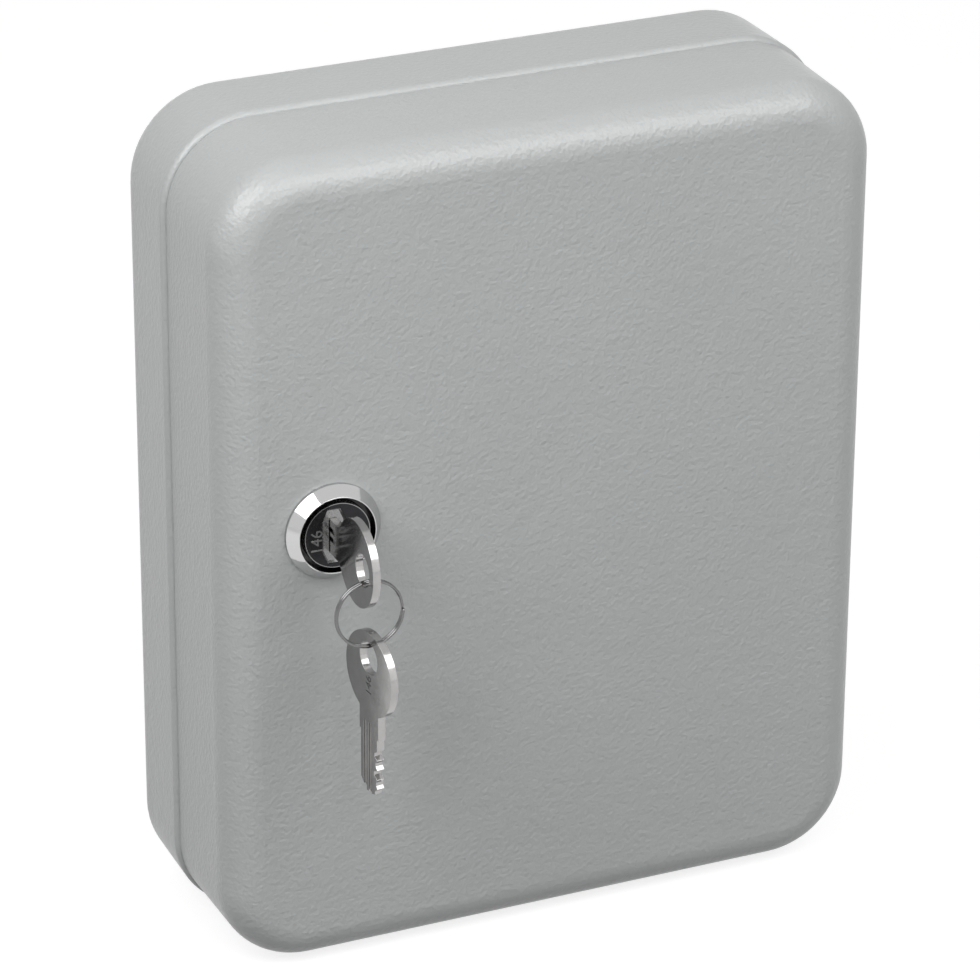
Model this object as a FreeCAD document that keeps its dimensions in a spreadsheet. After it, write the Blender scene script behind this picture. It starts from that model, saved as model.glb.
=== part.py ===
import FreeCAD
import Part
import Sketcher
import math
import os
import re

# A lockable sheet steel key box: back pan, hinged door pan, cam lock with its key,
# split ring and spare key, and four hook rails inside.
# Axes: X to the right, Y towards the wall, Z up. The origin is the middle of the four
# wall holes, on the outer face of the back pan.

SIZES = {
    # Back pan
    "case_width": 162.0,
    "case_height": 200.0,
    "case_depth": 25.5,
    "case_corner": 21.6,
    "case_wall": 1.0,
    "case_draft": 1.2,
    "case_edge": 5.5,
    "shoulder_edge": 1.6,
    "lip_height": 4.5,
    "lip_wall": 1.0,
    "lip_clearance": 0.6,
    "wall_hole_radius": 2.75,
    "wall_hole_inset_x": 31.0,
    "wall_hole_inset_z": 16.0,
    # Door pan
    "door_inset": 0.9,
    "door_gap": 0.4,
    "door_depth": 31.6,
    "door_wall": 1.0,
    "door_draft": 0.7,
    "door_edge": 8.5,
    # Continuous hinge on the right side
    "knuckle_length": 14.4,
    "knuckle_count": 9,
    "knuckle_gap": 0.4,
    "pin_radius": 1.0,
    "pin_clearance": 0.05,
    "leaf_thickness": 0.8,
    "leaf_reach": 12.0,
    "leaf_clearance": 0.08,
    "notch_clearance": 0.4,
    # Hook rails and number strips
    "rail_length": 136.0,
    "rail_height": 16.0,
    "rail_thickness": 0.8,
    "rail_corner": 2.5,
    "rail_pitch": 42.0,
    "top_rail_height": 70.0,
    "hook_count": 5,
    "hook_pitch": 27.0,
    "hook_width": 3.6,
    "hook_reach": 9.4,
    "hook_rise": 6.0,
    "hook_foot": 0.6,
    "hook_bend": 1.7,
    "window_height": 6.0,
    "window_margin": 0.5,
    "strip_length": 130.0,
    "strip_height": 6.0,
    "strip_thickness": 0.3,
    "strip_margin": 1.0,
    # Cam lock
    "lock_inset": 26.8,
    "lock_height": 11.5,
    "bezel_radius": 11.35,
    "bezel_edge": 0.9,
    "bezel_height": 3.5,
    "bezel_inner_radius": 9.05,
    "bezel_land": 0.2,
    "groove_depth": 2.5,
    "barrel_radius": 9.5,
    "barrel_length": 16.0,
    "barrel_flat": 8.25,
    "barrel_clearance": 0.15,
    "plug_radius": 6.4,
    "plug_clearance": 0.05,
    "cap_radius": 7.8,
    "cap_thickness": 1.4,
    "cap_recess": 0.2,
    "cap_clearance": 0.08,
    "dish_depth": 0.6,
    "dish_half_width": 2.9,
    "dish_half_height": 6.6,
    "dish_draft": 40.0,
    "washer_radius": 12.4,
    "washer_thickness": 0.8,
    "washer_teeth": 12,
    "nut_flats": 24.0,
    "nut_thickness": 3.5,
    "shank_side": 6.4,
    "shank_clearance": 0.1,
    "stop_radius": 9.0,
    "stop_disc_radius": 6.9,
    "stop_thickness": 1.0,
    "stop_half_angle": 30.0,
    "stop_gap_angle": 1.0,
    "stop_clearance": 0.3,
    "lock_travel": 90.0,
    "cam_thickness": 2.0,
    "cam_head_radius": 8.0,
    "cam_width": 13.0,
    "cam_reach": 21.0,
    "cam_tip": 3.0,
    "screw_radius": 2.0,
    "screw_clearance": 0.05,
    "screw_length": 6.0,
    "screw_head_radius": 4.0,
    "screw_head_height": 2.4,
    "cam_washer_radius": 5.2,
    "cam_washer_thickness": 0.9,
    # Wafers and their springs
    "wafer_count": 5,
    "wafer_pitch": 2.4,
    "wafer_thickness": 1.0,
    "wafer_half_width": 3.4,
    "wafer_half_height": 5.2,
    "wafer_clearance": 0.05,
    "ear_reach": 1.5,
    "ear_height": 1.0,
    "ear_bottom": 1.6,
    "spring_radius": 0.45,
    "spring_pocket": 3.2,
    # Keys
    "keyway_offset": 0.8,
    "key_thickness": 1.8,
    "key_clearance": 0.15,
    "blade_length": 14.5,
    "blade_height": 7.3,
    "neck_length": 5.8,
    "neck_height": 8.4,
    "bow_radius": 10.1,
    "bow_length": 19.3,
    "hole_radius": 3.9,
    "hole_inset": 6.2,
    "shoulder_clearance": 0.1,
    "first_cut": 4.0,
    "cut_half_width": 1.15,
    "cut_floor": 0.4,
    "cut_depth_one": 1.2,
    "cut_depth_two": 0.7,
    "cut_depth_three": 1.5,
    "cut_depth_four": 0.5,
    "cut_depth_five": 1.0,
    "groove_width": 1.2,
    "key_groove_depth": 0.4,
    "upper_groove": 1.7,
    "lower_groove": 0.5,
    # Split ring
    "ring_outer_radius": 8.15,
    "ring_inner_radius": 7.45,
    "ring_wire": 0.64,
    "ring_turn_gap": 0.06,
    "ring_turns": 1.94,
    "ring_seat": 0.5,
    "ring_shift": 0.7,
    "spare_shift": 0.6,
    "spare_turn": 7.0,
    # Strike plate
    "strike_thickness": 1.5,
    "strike_height": 24.0,
    "strike_reach": 8.5,
    "strike_gap": 0.5,
    "strike_tail": 9.0,
    "strike_foot_gap": 0.2,
    "strike_bend": 1.8,
}

# Two places closer than this are one place, in mm
SNAP = 0.001

# Expressions that several pieces share
CASE_HALF = "case_width / 2"
DOOR_HALF = "(case_width / 2 - door_inset)"
LIP_INNER_HALF = "(case_width / 2 - door_inset - door_wall - lip_clearance - lip_wall)"
SEAM_Y = "-case_depth"
DOOR_BACK_Y = "-(case_depth + door_gap)"
FRONT_Y = "-(case_depth + door_gap + door_depth)"
KNUCKLE_RADIUS = "(pin_radius + pin_clearance + leaf_thickness)"
HINGE_X = ("case_width / 2 - case_wall - leaf_clearance - leaf_reach * tan(case_draft)"
           " - leaf_thickness + pin_radius + pin_clearance + leaf_thickness")
HINGE_Y = "-(case_depth + door_gap / 2)"
HINGE_LENGTH = "knuckle_length * knuckle_count"
LOCK_X = "-(case_width / 2 - lock_inset)"
PLUG_REAR = "(barrel_length + shank_clearance)"
CAM_FRONT = "(barrel_length + shank_clearance + stop_thickness)"
CAM_REAR = "(barrel_length + shank_clearance + stop_thickness + cam_thickness)"
CAP_FRONT = "(cap_recess - bezel_height)"
KEY_STOP = "(cap_recess + dish_depth - bezel_height - shoulder_clearance)"
HOLE_FROM_STOP = "(neck_length + bow_length - hole_inset)"
RING_DROP = "(hole_radius - ring_seat + ring_inner_radius)"

doc = FreeCAD.newDocument("KeyBox")
sheet = doc.addObject("Spreadsheet::Sheet", "Sizes")
nodes = []


def fill_sheet():
    """Write every driving dimension into the sheet, its name beside it."""
    for row, (name, value) in enumerate(SIZES.items(), start=1):
        sheet.set("A%d" % row, name.replace("_", " "))
        sheet.set("B%d" % row, str(value))
        sheet.setAlias("B%d" % row, name)
    doc.recompute()


def cells(text):
    """Turn the plain names in an expression into references to the sheet."""
    def refer(match):
        word = match.group(0)
        return "Sizes." + word if word in SIZES else word
    return re.sub(r"[a-z_]+", refer, text)


def bind(item, path, text):
    """Bind one property of an object to the sheet."""
    item.setExpression(path, cells(text))


def make_body(name, at=("0", "0", "0"), turn=None):
    """Start a body whose place is bound to the sheet."""
    body = doc.addObject("PartDesign::Body", name)
    body.Label = name
    body.AllowCompound = True
    if turn is not None:
        body.Placement = FreeCAD.Placement(FreeCAD.Vector(0, 0, 0), turn)
    for axis, text in zip("xyz", at):
        bind(body, "Placement.Base." + axis, text)
    nodes.append(body)
    return body


def origin_of(body, role):
    """The body's own origin plane or axis with this role."""
    return [item for item in body.Origin.OriginFeatures if item.Role == role][0]


def make_sketch(body, name, plane, offset="0"):
    """A sketch on one of the body's own planes, moved along that plane's normal."""
    sketch = body.newObject("Sketcher::SketchObject", body.Name + "_" + name)
    sketch.AttachmentSupport = [(origin_of(body, plane + "_Plane"), "")]
    sketch.MapMode = "FlatFace"
    bind(sketch, "AttachmentOffset.Base.z", offset)
    return sketch


def dimension(sketch, constraint, name, text):
    """Add a driving dimension to a sketch and bind it to the sheet."""
    index = sketch.addConstraint(constraint)
    sketch.renameConstraint(index, name)
    bind(sketch, "Constraints." + name, text)


def add_polygon(sketch, points):
    """A closed outline of straight lines through points given as expressions."""
    first = sketch.GeometryCount
    count = len(points)
    around = [2 * math.pi * step / count for step in range(count)]
    rough = [FreeCAD.Vector(math.cos(angle), math.sin(angle), 0) for angle in around]
    for step in range(count):
        sketch.addGeometry(Part.LineSegment(rough[step], rough[(step + 1) % count]), False)
    for step in range(count):
        following = first + (step + 1) % count
        sketch.addConstraint(Sketcher.Constraint("Coincident", first + step, 2, following, 1))
    for step, (across, up) in enumerate(points):
        line = first + step
        to_x = Sketcher.Constraint("DistanceX", -1, 1, line, 1, rough[step].x)
        to_y = Sketcher.Constraint("DistanceY", -1, 1, line, 1, rough[step].y)
        dimension(sketch, to_x, "x%d" % line, across)
        dimension(sketch, to_y, "y%d" % line, up)


def add_box(sketch, low, high):
    """A rectangle between two corners given as expressions."""
    add_polygon(sketch, [low, (high[0], low[1]), high, (low[0], high[1])])


def add_circle(sketch, radius, centre=("0", "0")):
    """A circle with a bound centre and radius."""
    start = Part.Circle(FreeCAD.Vector(0, 0, 0), FreeCAD.Vector(0, 0, 1), 1.0)
    circle = sketch.addGeometry(start, False)
    dimension(sketch, Sketcher.Constraint("DistanceX", -1, 1, circle, 3, 0.0), "cx%d" % circle, centre[0])
    dimension(sketch, Sketcher.Constraint("DistanceY", -1, 1, circle, 3, 0.0), "cy%d" % circle, centre[1])
    dimension(sketch, Sketcher.Constraint("Radius", circle, 1.0), "radius%d" % circle, radius)


def add_round_box(sketch, width, height, corner):
    """A rectangle with rounded corners, centred on the sketch's origin."""
    first = sketch.GeometryCount
    half_x, half_y, round_off = 80.0, 100.0, 20.0
    right, top = half_x - round_off, half_y - round_off
    up = FreeCAD.Vector(0, 0, 1)

    def line(x0, y0, x1, y1):
        ends = FreeCAD.Vector(x0, y0, 0), FreeCAD.Vector(x1, y1, 0)
        sketch.addGeometry(Part.LineSegment(*ends), False)

    def arc(x, y, start):
        circle = Part.Circle(FreeCAD.Vector(x, y, 0), up, round_off)
        sketch.addGeometry(Part.ArcOfCircle(circle, start, start + math.pi / 2), False)

    line(-right, half_y, right, half_y)
    arc(right, top, 0)
    line(half_x, top, half_x, -top)
    arc(right, -top, -math.pi / 2)
    line(right, -half_y, -right, -half_y)
    arc(-right, -top, math.pi)
    line(-half_x, -top, -half_x, top)
    arc(-right, top, math.pi / 2)
    meets = ((0, 2, 1, 2), (1, 1, 2, 1), (2, 2, 3, 2), (3, 1, 4, 1),
             (4, 2, 5, 2), (5, 1, 6, 1), (6, 2, 7, 2), (7, 1, 0, 1))
    for one, one_end, other, other_end in meets:
        tangent = Sketcher.Constraint("Tangent", first + one, one_end, first + other, other_end)
        sketch.addConstraint(tangent)
    for side, way in ((0, "Horizontal"), (2, "Vertical"), (4, "Horizontal"), (6, "Vertical")):
        sketch.addConstraint(Sketcher.Constraint(way, first + side))
    for other in (3, 5, 7):
        sketch.addConstraint(Sketcher.Constraint("Equal", first + 1, first + other))
    sketch.addConstraint(Sketcher.Constraint("Symmetric", first + 1, 3, first + 5, 3, -1, 1))
    across = Sketcher.Constraint("DistanceX", first + 6, 1, first + 2, 1, 2 * half_x)
    tall = Sketcher.Constraint("DistanceY", first + 4, 1, first, 1, 2 * half_y)
    dimension(sketch, across, "width%d" % first, width)
    dimension(sketch, tall, "height%d" % first, height)
    dimension(sketch, Sketcher.Constraint("Radius", first + 1, round_off), "corner%d" % first, corner)


def add_double_d(sketch, radius, flat, centre=("0", "0")):
    """A circle with two upright flats, as a lock's hole has."""
    first = sketch.GeometryCount
    rough, half = 10.0, 8.0
    angle = math.acos(half / rough)
    rise = rough * math.sin(angle)
    circle = Part.Circle(FreeCAD.Vector(0, 0, 0), FreeCAD.Vector(0, 0, 1), rough)
    top = Part.ArcOfCircle(circle, angle, math.pi - angle)
    bottom = Part.ArcOfCircle(circle, math.pi + angle, 2 * math.pi - angle)
    left = Part.LineSegment(FreeCAD.Vector(-half, rise, 0), FreeCAD.Vector(-half, -rise, 0))
    right = Part.LineSegment(FreeCAD.Vector(half, -rise, 0), FreeCAD.Vector(half, rise, 0))
    for piece in (top, left, bottom, right):
        sketch.addGeometry(piece, False)
    for one in range(4):
        other = first + (one + 1) % 4
        sketch.addConstraint(Sketcher.Constraint("Coincident", first + one, 2, other, 1))
    sketch.addConstraint(Sketcher.Constraint("Coincident", first, 3, first + 2, 3))
    sketch.addConstraint(Sketcher.Constraint("Vertical", first + 1))
    sketch.addConstraint(Sketcher.Constraint("Vertical", first + 3))
    sketch.addConstraint(Sketcher.Constraint("Equal", first, first + 2))
    dimension(sketch, Sketcher.Constraint("DistanceX", -1, 1, first, 3, 0.0), "dx", centre[0])
    dimension(sketch, Sketcher.Constraint("DistanceY", -1, 1, first, 3, 0.0), "dy", centre[1])
    dimension(sketch, Sketcher.Constraint("Radius", first, rough), "round", radius)
    dimension(sketch, Sketcher.Constraint("DistanceX", first + 1, 1, first, 3, half), "left_flat", flat)
    dimension(sketch, Sketcher.Constraint("DistanceX", first, 3, first + 3, 1, half), "right_flat", flat)


def extrude(body, kind, sketch, length, forwards=True, both_ways=False, taper=None):
    """Pad or pocket a sketch, forwards being along the sketch's own normal."""
    feature = body.newObject("PartDesign::" + kind, sketch.Name + "_" + kind.lower())
    feature.Profile = sketch
    if both_ways:
        feature.SideType = "Symmetric"
    elif kind == "Pad":
        feature.Reversed = not forwards
    else:
        feature.Reversed = forwards
    bind(feature, "Length", length)
    if taper is not None:
        bind(feature, "TaperAngle", taper)
    doc.recompute()
    return feature


def pad(body, sketch, length, **options):
    return extrude(body, "Pad", sketch, length, **options)


def pocket(body, sketch, length, **options):
    return extrude(body, "Pocket", sketch, length, **options)


def revolve(body, sketch, axis="Y"):
    """Turn a half profile all the way round one of the body's axes."""
    feature = body.newObject("PartDesign::Revolution", sketch.Name + "_turn")
    feature.Profile = sketch
    feature.ReferenceAxis = (origin_of(body, axis + "_Axis"), [""])
    feature.Angle = 360
    doc.recompute()
    return feature


def repeat(body, features, axis, length, count):
    """Copy features along one of the body's axes, over a length and a number from the sheet."""
    pattern = body.newObject("PartDesign::LinearPattern", features[0].Name + "_row")
    pattern.Originals = features
    pattern.Direction = (origin_of(body, axis + "_Axis"), [""])
    bind(pattern, "Length", length)
    bind(pattern, "Occurrences", count)
    body.Tip = pattern
    doc.recompute()
    return pattern


def repeat_around(body, features, axis, count):
    """Copy features evenly round one of the body's axes."""
    pattern = body.newObject("PartDesign::PolarPattern", features[0].Name + "_round")
    pattern.Originals = features
    pattern.Axis = (origin_of(body, axis + "_Axis"), [""])
    pattern.Angle = 360
    bind(pattern, "Occurrences", count)
    body.Tip = pattern
    doc.recompute()
    return pattern


def round_edges(body, base, name, radius, chosen):
    """Fillet the edges of a feature that a test picks out."""
    feature = body.newObject("PartDesign::Fillet", body.Name + "_" + name)
    picked = ["Edge%d" % (index + 1) for index, edge in enumerate(base.Shape.Edges) if chosen(edge)]
    if not picked:
        raise RuntimeError("no edge found for " + feature.Name)
    feature.Base = (base, picked)
    bind(feature, "Radius", radius)
    doc.recompute()
    return feature


def lies_in(edge, axis, at):
    """True where an edge lies wholly in a plane square to an axis."""
    box = edge.BoundBox
    low, high = getattr(box, axis + "Min"), getattr(box, axis + "Max")
    return abs(low - at) < SNAP and abs(high - at) < SNAP


def runs_along_x(edge, y, z):
    """True for a straight edge along X at this place."""
    return lies_in(edge, "Y", y) and lies_in(edge, "Z", z)


def inset_box(sketch, inset):
    """The case's rounded outline, moved inwards by an expression."""
    add_round_box(sketch, "case_width - 2 * (%s)" % inset, "case_height - 2 * (%s)" % inset,
                  "case_corner - (%s)" % inset)


def make_pan(body, inset, role, forwards):
    """A drafted tray of one wall thickness, rounded where its sides meet its face."""
    depth, wall, draft, edge_radius = (role + "_depth", role + "_wall", role + "_draft", role + "_edge")
    way = -1 if forwards else 1
    face = way * SIZES[depth]
    floor = way * (SIZES[depth] - SIZES[wall])
    outline = make_sketch(body, "outline", "XZ")
    inset_box(outline, inset)
    pad(body, outline, depth, forwards=forwards, taper="-" + draft)
    inside = make_sketch(body, "inside", "XZ")
    inset_box(inside, "%s + %s" % (inset, wall))
    hollow = pocket(body, inside, "%s - %s" % (depth, wall), forwards=forwards, taper="-" + draft)
    rounded = round_edges(body, hollow, "inner_edge", "%s - %s" % (edge_radius, wall),
                          lambda edge: lies_in(edge, "Y", floor))
    return round_edges(body, rounded, "outer_edge", edge_radius, lambda edge: lies_in(edge, "Y", face))


def make_back_case():
    """The back pan: drafted walls, rolled shoulder, stepped lip, hinge notch and wall holes."""
    body = make_body("back_case", ("0", SEAM_Y, "0"))
    make_pan(body, "0", "case", forwards=False)
    flange = make_sketch(body, "flange", "XZ")
    inset = "door_inset + door_wall + lip_clearance"
    inset_box(flange, "case_wall / 2")
    inset_box(flange, inset + " + lip_wall")
    pad(body, flange, "case_wall", forwards=False)
    lip = make_sketch(body, "lip", "XZ")
    inset_box(lip, inset)
    inset_box(lip, inset + " + lip_wall")
    rim = pad(body, lip, "lip_height")

    def shoulder(edge):
        box = edge.BoundBox
        wide = max(abs(box.XMin), abs(box.XMax)) > SIZES["case_width"] / 2 - SNAP
        tall = max(abs(box.ZMin), abs(box.ZMax)) > SIZES["case_height"] / 2 - SNAP
        return lies_in(edge, "Y", 0) and (wide or tall)

    round_edges(body, rim, "shoulder", "shoulder_edge", shoulder)
    notch = make_sketch(body, "hinge_notch", "XZ", "lip_height + case_wall")
    half = "(%s) / 2 + notch_clearance" % HINGE_LENGTH
    add_box(notch, (LIP_INNER_HALF + " - case_wall", "-(%s)" % half), (CASE_HALF + " + case_wall", half))
    reach = "lip_height + case_wall + notch_clearance + %s - door_gap / 2" % KNUCKLE_RADIUS
    pocket(body, notch, reach, forwards=False)
    holes = make_sketch(body, "wall_holes", "XZ")
    for side in ("-", ""):
        for end in ("-", ""):
            across = side + "(case_width / 2 - wall_hole_inset_x)"
            up = end + "(case_height / 2 - wall_hole_inset_z)"
            add_circle(holes, "wall_hole_radius", (across, up))
    pocket(body, holes, "case_depth + case_wall", forwards=False)


def make_door_cover():
    """The door pan: a deep drafted skirt, a large front radius, the lock hole and hinge notch."""
    body = make_body("door_cover", ("0", DOOR_BACK_Y, "0"))
    make_pan(body, "door_inset", "door", forwards=True)
    hole = make_sketch(body, "lock_hole", "XZ", "door_depth + door_wall")
    add_double_d(hole, "barrel_radius + barrel_clearance", "barrel_flat + barrel_clearance",
                 (LOCK_X, "lock_height"))
    pocket(body, hole, "3 * door_wall", forwards=False)
    notch = make_sketch(body, "hinge_notch", "XZ")
    half = "(%s) / 2 + notch_clearance" % HINGE_LENGTH
    add_box(notch, (DOOR_HALF + " - 3 * door_wall", "-(%s)" % half), (DOOR_HALF + " + door_wall", half))
    pocket(body, notch, KNUCKLE_RADIUS + " + notch_clearance - door_gap / 2", forwards=True)


def cut_knuckles(body, first_edge, front, back, count):
    """Cut away the other leaf's knuckles, leaving a gap at both ends of each."""
    gap = make_sketch(body, "knuckle_gap", "XY", "%s - knuckle_gap / 2" % first_edge)
    side = "(2 * %s)" % KNUCKLE_RADIUS
    add_box(gap, ("-" + side, front), (side, back))
    cut = pocket(body, gap, "knuckle_length + knuckle_gap", forwards=True)
    repeat(body, [cut], "Z", "2 * knuckle_length * (%s - 1)" % count, count)


def add_barrel(body):
    """The rolled barrel of a hinge leaf with its pin bore."""
    barrel = make_sketch(body, "barrel", "XY")
    add_circle(barrel, KNUCKLE_RADIUS)
    pad(body, barrel, HINGE_LENGTH, both_ways=True)
    bore = make_sketch(body, "bore", "XY")
    add_circle(bore, "pin_radius + pin_clearance")
    pocket(body, bore, HINGE_LENGTH + " + 2 * pin_radius", both_ways=True)


def make_hinge():
    """A continuous hinge: two leaves with alternate knuckles on one pin."""
    place = (HINGE_X, HINGE_Y, "0")
    swing_gap = "(%s + notch_clearance)" % KNUCKLE_RADIUS

    body = make_body("hinge_leaf_case", place)
    leaf = make_sketch(body, "leaf", "XY")
    inner = "-" + KNUCKLE_RADIUS
    add_box(leaf, (inner, "pin_radius / 3"), (inner + " + leaf_thickness", "leaf_reach"))
    pad(body, leaf, HINGE_LENGTH, both_ways=True)
    add_barrel(body)
    first_door_knuckle = "-(%s) / 2 + knuckle_length" % HINGE_LENGTH
    cut_knuckles(body, first_door_knuckle, "-" + swing_gap, swing_gap, "(knuckle_count - 1) / 2")

    body = make_body("hinge_leaf_door", place)
    leaf = make_sketch(body, "leaf", "XY")
    outer = ("(%s - door_wall - leaf_clearance - leaf_reach * tan(door_draft) - (%s))" % (DOOR_HALF, HINGE_X))
    low = outer + " - leaf_thickness"
    web_front = "-0.95 * " + KNUCKLE_RADIUS
    near, far = "-0.33 * " + KNUCKLE_RADIUS, "-0.78 * " + KNUCKLE_RADIUS
    add_polygon(leaf, [(low, "-leaf_reach"), (outer, "-leaf_reach"), (outer, web_front),
                       (near, far), (far, near), (low, "-0.5 * " + KNUCKLE_RADIUS)])
    pad(body, leaf, HINGE_LENGTH, both_ways=True)
    add_barrel(body)
    first_case_knuckle = "-(%s) / 2" % HINGE_LENGTH
    cut_knuckles(body, first_case_knuckle, "-" + swing_gap, swing_gap, "(knuckle_count + 1) / 2")

    body = make_body("hinge_pin", place)
    rod = make_sketch(body, "rod", "XY")
    add_circle(rod, "pin_radius")
    pad(body, rod, HINGE_LENGTH, both_ways=True)


def make_strike_plate():
    """The bracket on the case's lip whose flange holds the cam."""
    body = make_body("strike_plate", ("0", "0", "lock_height"))
    shape = make_sketch(body, "profile", "XY")
    outer = "-" + LIP_INNER_HALF
    inner = outer + " + strike_thickness"
    flange_back = "(%s + %s - strike_gap)" % (FRONT_Y, CAM_FRONT)
    flange_front = flange_back + " - strike_thickness"
    tail = "-strike_tail"
    wall = "-(case_width / 2 - case_wall - strike_foot_gap - (case_depth - strike_tail) * tan(case_draft))"
    add_polygon(shape, [(wall, tail), (outer, tail), (outer, flange_front),
                        (outer + " + strike_reach", flange_front), (outer + " + strike_reach", flange_back),
                        (inner, flange_back), (inner, tail + " + strike_thickness"),
                        (wall, tail + " + strike_thickness")])
    plate = pad(body, shape, "strike_height", both_ways=True)
    bend_x = -(SIZES["case_width"] / 2 - SIZES["door_inset"] - SIZES["door_wall"]
               - SIZES["lip_clearance"] - SIZES["lip_wall"])
    front = (-(SIZES["case_depth"] + SIZES["door_gap"] + SIZES["door_depth"]) + SIZES["barrel_length"]
             + SIZES["shank_clearance"] + SIZES["stop_thickness"] - SIZES["strike_gap"]
             - SIZES["strike_thickness"])
    round_edges(body, plate, "bend", "strike_bend",
                lambda edge: lies_in(edge, "X", bend_x) and lies_in(edge, "Y", front))


def make_hook_rails():
    """Four rails, each with five lanced hooks and the windows that they leave, and their number strips."""
    root = "-rail_height / 2 + hook_foot"
    for row in range(4):
        height = "top_rail_height - %d * rail_pitch" % row
        body = make_body("hook_rail_%d" % (row + 1), ("0", "-case_wall", height))
        strip = make_sketch(body, "strip", "XZ")
        add_round_box(strip, "rail_length", "rail_height", "rail_corner")
        pad(body, strip, "rail_thickness")
        first_hook = "-hook_pitch * (hook_count - 1) / 2"
        window = make_sketch(body, "window", "XZ", "2 * rail_thickness")
        half = "(hook_width / 2 + window_margin)"
        top = root + " + rail_thickness + window_height"
        add_box(window, (first_hook + " - " + half, root + " + rail_thickness"),
                (first_hook + " + " + half, top))
        hole = pocket(body, window, "4 * rail_thickness", forwards=False)
        repeat(body, [hole], "X", "hook_pitch * (hook_count - 1)", "hook_count")
        hook = make_sketch(body, "hook", "YZ", first_hook)
        tip = root + " + hook_rise"
        add_polygon(hook, [("0", root), ("-hook_reach", root), ("-hook_reach", tip),
                           ("-hook_reach + rail_thickness", tip),
                           ("-hook_reach + rail_thickness", root + " + rail_thickness"),
                           ("0", root + " + rail_thickness")])
        arm = pad(body, hook, "hook_width", both_ways=True)
        hooks = repeat(body, [arm], "X", "hook_pitch * (hook_count - 1)", "hook_count")
        low = -SIZES["rail_height"] / 2 + SIZES["hook_foot"]
        sheet_thickness = SIZES["rail_thickness"]
        reach = -SIZES["hook_reach"]
        outside = round_edges(body, hooks, "outer_bend", "hook_bend",
                              lambda edge: runs_along_x(edge, reach, low))
        round_edges(body, outside, "inner_bend", "hook_bend - rail_thickness",
                    lambda edge: runs_along_x(edge, reach + sheet_thickness, low + sheet_thickness))

        label_z = height + " + strip_margin"
        body = make_body("number_strip_%d" % (row + 1), ("0", "-(case_wall + rail_thickness)", label_z))
        label = make_sketch(body, "label", "XZ")
        add_box(label, ("-strip_length / 2", "0"), ("strip_length / 2", "strip_height"))
        pad(body, label, "strip_thickness")


LOCK_AT = (LOCK_X, FRONT_Y, "lock_height")


def lock_body(name, along):
    """A body on the lock's axis, at a depth behind the door's front face."""
    return make_body(name, (LOCK_AT[0], "%s + %s" % (FRONT_Y, along), LOCK_AT[2]))


def ray(radius, angle):
    """A point on the lock's face at this angle from straight down, towards the left."""
    return "-(%s) * sin(%s)" % (radius, angle), "-(%s) * cos(%s)" % (radius, angle)


def make_lock_housing():
    """The bezel and barrel of the cam lock, with the stop that limits the plug."""
    body = lock_body("lock_housing", "0")
    half = make_sketch(body, "half_profile", "XY")
    bore = "plug_radius + plug_clearance"
    cap = "cap_radius + cap_clearance"
    seat = CAP_FRONT + " + cap_thickness + cap_clearance"
    groove = "groove_depth - bezel_height"
    add_polygon(half, [(bore, "barrel_length"), ("barrel_radius", "barrel_length"), ("barrel_radius", "0"),
                       ("bezel_radius", "0"), ("bezel_radius", "-bezel_edge"),
                       ("bezel_inner_radius + bezel_land", "-bezel_height"),
                       ("bezel_inner_radius", "-bezel_height"),
                       ("bezel_inner_radius - bezel_land", groove),
                       (cap, groove), (cap, seat), (bore, seat)])
    revolve(body, half)
    stop = make_sketch(body, "stop", "XZ", "-barrel_length")
    add_circle(stop, "barrel_radius - shank_clearance")
    add_circle(stop, "stop_disc_radius + stop_clearance")
    pad(body, stop, "stop_thickness - shank_clearance", forwards=False)
    free = make_sketch(body, "free_sector", "XZ", "-barrel_length")
    start = "-(stop_half_angle + stop_gap_angle)"
    end = "lock_travel + stop_half_angle + stop_gap_angle"
    far = "2 * barrel_radius"
    add_polygon(free, [("0", "0"), ray(far, start), ray(far, "lock_travel / 2"), ray(far, end)])
    pocket(body, free, "2 * stop_thickness", forwards=False)
    flats = make_sketch(body, "flats", "XZ")
    rise = "1.5 * barrel_radius"
    add_box(flats, ("barrel_flat", "-" + rise), (rise, rise))
    add_box(flats, ("-" + rise, "-" + rise), ("-barrel_flat", rise))
    pocket(body, flats, "barrel_length + 2 * stop_thickness", forwards=False)


def make_lock_fixings():
    """The toothed washer and the nut that hold the lock in the door."""
    body = lock_body("lock_washer", "door_wall")
    disc = make_sketch(body, "disc", "XZ")
    add_circle(disc, "washer_radius")
    add_circle(disc, "barrel_radius + shank_clearance")
    pad(body, disc, "washer_thickness", forwards=False)
    tooth = make_sketch(body, "tooth_gap", "XZ", "washer_thickness")
    add_box(tooth, ("-washer_thickness", "washer_radius - 1.5 * washer_thickness"),
            ("washer_thickness", "washer_radius + washer_thickness"))
    gap = pocket(body, tooth, "3 * washer_thickness", forwards=False)
    repeat_around(body, [gap], "Y", "washer_teeth")

    body = lock_body("lock_nut", "door_wall + washer_thickness")
    hexagon = make_sketch(body, "hexagon", "XZ")
    corner = "nut_flats / 2 / cos(30)"
    add_polygon(hexagon, [ray(corner, str(60 * side)) for side in range(6)])
    add_circle(hexagon, "barrel_radius + shank_clearance")
    pad(body, hexagon, "nut_thickness", forwards=False)


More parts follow.
